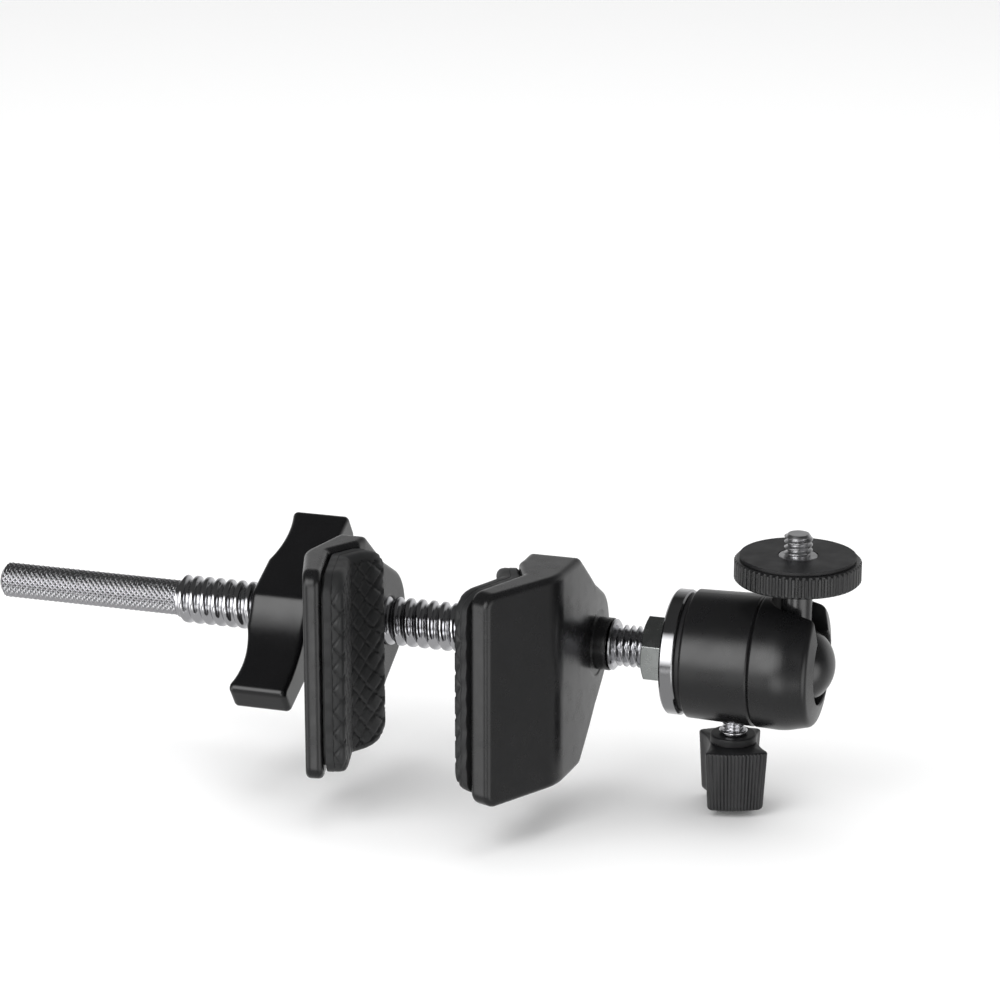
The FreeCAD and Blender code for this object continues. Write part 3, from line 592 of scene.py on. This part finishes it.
def pad_layer(name, body, mirrored, near, far, margin, roll, depth, wave):
    """One closed rubber layer between two distances from the jaw's seat."""
    half_s = seat_path()[2] / 2 - margin
    columns, rows = PAD_COLUMNS, PAD_ROWS
    sheet = sheet_grid(half_s - roll, PAD_HALF_HEIGHT - margin - roll, PAD_CORNER - margin - roll,
                       columns, rows)
    rim = rim_of(rows, columns)
    edge = sheet[rim]
    along = np.roll(edge, -1, 0) - np.roll(edge, 1, 0)
    outward = np.stack([along[:, 1], -along[:, 0]], -1)
    outward /= np.linalg.norm(outward, axis=1)[:, None]
    wobble = wave * np.cos(TURN * edge[:, 1] / TREAD_PITCH)

    wall = far - roll - near
    rings = [(near + wall * k / (WALL_STEPS - 1), roll) for k in range(WALL_STEPS)]
    for k in range(1, ROLL_STEPS + 1):
        angle = k / (ROLL_STEPS + 1) * math.pi / 2
        rings.append((far - roll + roll * math.sin(angle), roll * math.cos(angle)))
    layers = [carry_to_seat(sheet, np.full(len(sheet), near))]
    for distance, reach in rings:
        down = np.full(len(edge), half_s + far - distance)
        cut = groove(down, edge[:, 1], depth)
        flank = edge + outward * (reach + wobble - cut * outward[:, 0] ** 2)[:, None]
        layers.append(carry_to_seat(flank, distance - 0.3 * cut))
    face_cut = groove(half_s - np.abs(sheet[:, 0]), sheet[:, 1], depth)
    layers.append(carry_to_seat(sheet, far - face_cut))
    points = np.concatenate(layers)

    size = rows * columns
    face_start = size + len(rings) * len(rim)
    faces = []
    for i in range(rows - 1):
        for j in range(columns - 1):
            low, high = i * columns + j, (i + 1) * columns + j
            faces.append((high, high + 1, low + 1, low))
            faces.append(tuple(face_start + q for q in (low, low + 1, high + 1, high)))
    loops = [rim] + [[size + r * len(rim) + q for q in range(len(rim))] for r in range(len(rings))]
    loops.append([face_start + q for q in rim])
    for lower, upper in zip(loops, loops[1:]):
        for q in range(len(rim)):
            w = (q + 1) % len(rim)
            faces.append((lower[q], lower[w], upper[w], upper[q]))
    if mirrored:
        lean = math.radians(PAD_LEAN)
        x, y = -points[:, 0], points[:, 1]
        points = np.column_stack([x * math.cos(lean) + y * math.sin(lean) + PAD_SHIFT[0],
                                  y * math.cos(lean) - x * math.sin(lean) + PAD_SHIFT[1], points[:, 2]])
        faces = [f[::-1] for f in faces]
    return new_piece(name, points, faces, "jaw_rubber", body, sharp_deg=60)


def pad_pieces():
    """Foot, base and tread of both pads."""
    for node, body, mirrored in (("fixed_jaw_pad", "root", False),
                                 ("moving_jaw_pad", "sliding_jaw", True)):
        for suffix, *shape in PAD_LAYERS:
            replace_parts(pad_layer(node + suffix, body, mirrored, *shape), node)


# --- stage, light, camera -----------------------------------------------------------------

FLOOR_Z = -35.6


def make_floor(z):
    """Plain pale floor just below the lowest point that any pose reaches."""
    size = 12.0
    mesh = bpy.data.meshes.new("floor")
    mesh.from_pydata([(-size, -size, z), (size, -size, z), (size, size, z), (-size, size, z)],
                     [], [(0, 1, 2, 3)])
    floor = bpy.data.objects.new("floor", mesh)
    bpy.context.scene.collection.objects.link(floor)
    material = bpy.data.materials.new("floor")
    material.use_nodes = True
    shader = material.node_tree.nodes["Principled BSDF"]
    shader.inputs["Base Color"].default_value = (0.95, 0.95, 0.95, 1)
    shader.inputs["Roughness"].default_value = 0.9
    mesh.materials.append(material)
    floor.visible_glossy = False


def card(tree, direction, place, inner, outer, level):
    """Soft round patch of light seen in reflections: full inside one angle, gone by another."""
    toward = Vector(place).normalized()
    facing = add(tree, "ShaderNodeVectorMath", {0: direction, 1: toward}, operation="DOT_PRODUCT")
    return remap(tree, facing.outputs["Value"], math.cos(math.radians(outer)),
                 math.cos(math.radians(inner)), 0.0, level)


def make_world():
    """White studio: even light on surfaces, and a shaped surround for reflections."""
    world = bpy.data.worlds.new("studio")
    bpy.context.scene.world = world
    world.use_nodes = True
    tree = world.node_tree
    tree.nodes.clear()
    direction = add(tree, "ShaderNodeTexCoord").outputs["Generated"]
    split = add(tree, "ShaderNodeSeparateXYZ", {"Vector": direction})
    back = remap(tree, split.outputs["Z"], 0.1, 0.7, 0.95, 0.05)
    front = remap(tree, split.outputs["Z"], -0.5, 0.2, 0.62, 0.08)
    side = remap(tree, split.outputs["Y"], 0.35, 0.70, 0.0, 1.0)
    level = add(tree, "ShaderNodeMix", {"Factor": side, "A": front, "B": back},
                data_type="FLOAT").outputs["Result"]
    cards = [                       # direction, full inside and gone by (degrees), strength
        ((-0.323, -0.888, 0.326), 12, 30, 4.3),
        ((0.0, -0.95, -0.31), 7, 15, 3.0),
        ((0.85, -0.49, -0.17), 15, 32, 1.8),
        ((-0.81, -0.57, -0.17), 10, 24, 2.2),
    ]
    for place, inner, outer, strength in cards:
        patch = card(tree, direction, place, inner, outer, strength)
        level = add(tree, "ShaderNodeMath", {0: level, 1: patch}, operation="ADD").outputs[0]
    path = add(tree, "ShaderNodeLightPath")
    seen = add(tree, "ShaderNodeMix", {"Factor": path.outputs["Is Camera Ray"], "A": level, "B": 1.0},
               data_type="FLOAT").outputs["Result"]
    lit = add(tree, "ShaderNodeMix", {"Factor": path.outputs["Is Diffuse Ray"], "A": seen, "B": 1.02},
              data_type="FLOAT").outputs["Result"]
    glow = add(tree, "ShaderNodeBackground", {"Strength": lit})
    out = add(tree, "ShaderNodeOutputWorld")
    tree.links.new(glow.outputs["Background"], out.inputs["Surface"])


def softbox(name, place, target, width, height, power, glossy=True):
    """Rectangular light aimed at a point."""
    data = bpy.data.lights.new(name, "AREA")
    data.shape = "RECTANGLE"
    data.size = width
    data.size_y = height
    data.energy = power
    light = bpy.data.objects.new(name, data)
    light.location = place
    light.rotation_mode = "QUATERNION"
    light.rotation_quaternion = (Vector(target) - Vector(place)).to_track_quat("-Z", "Y")
    light.visible_glossy = glossy
    bpy.context.scene.collection.objects.link(light)


def make_camera():
    """Long lens, a little above the rod and to the ball head's side."""
    azimuth, elevation = math.radians(18), math.radians(17)
    data = bpy.data.cameras.new("camera")
    data.sensor_width = 36.0
    data.lens = 118.8
    data.clip_start = 0.01
    data.clip_end = 50.0
    camera = bpy.data.objects.new("camera", data)
    bpy.context.scene.collection.objects.link(camera)
    forward = Vector((-math.sin(azimuth) * math.cos(elevation),
                      math.cos(azimuth) * math.cos(elevation), -math.sin(elevation)))
    camera.location = Vector((229.40, -679.59, 250.11)) * MM
    camera.rotation_mode = "QUATERNION"
    camera.rotation_quaternion = forward.to_track_quat("-Z", "Y")
    bpy.context.scene.camera = camera


dress_cad_nodes()
clamp_rod_piece()
lock_screw_piece()
camera_stud_piece()
lock_knob_piece()
pad_pieces()
make_floor(FLOOR_Z * MM)
make_world()
softbox("key", (-0.35, -0.55, 0.75), (0, 0, 0), 0.6, 0.6, 3.0, glossy=False)
softbox("top", (0.1, 0.3, 1.1), (0, 0, 0), 1.2, 0.8, 4.0, glossy=False)
make_camera()
bpy.context.scene.view_settings.view_transform = "Standard"
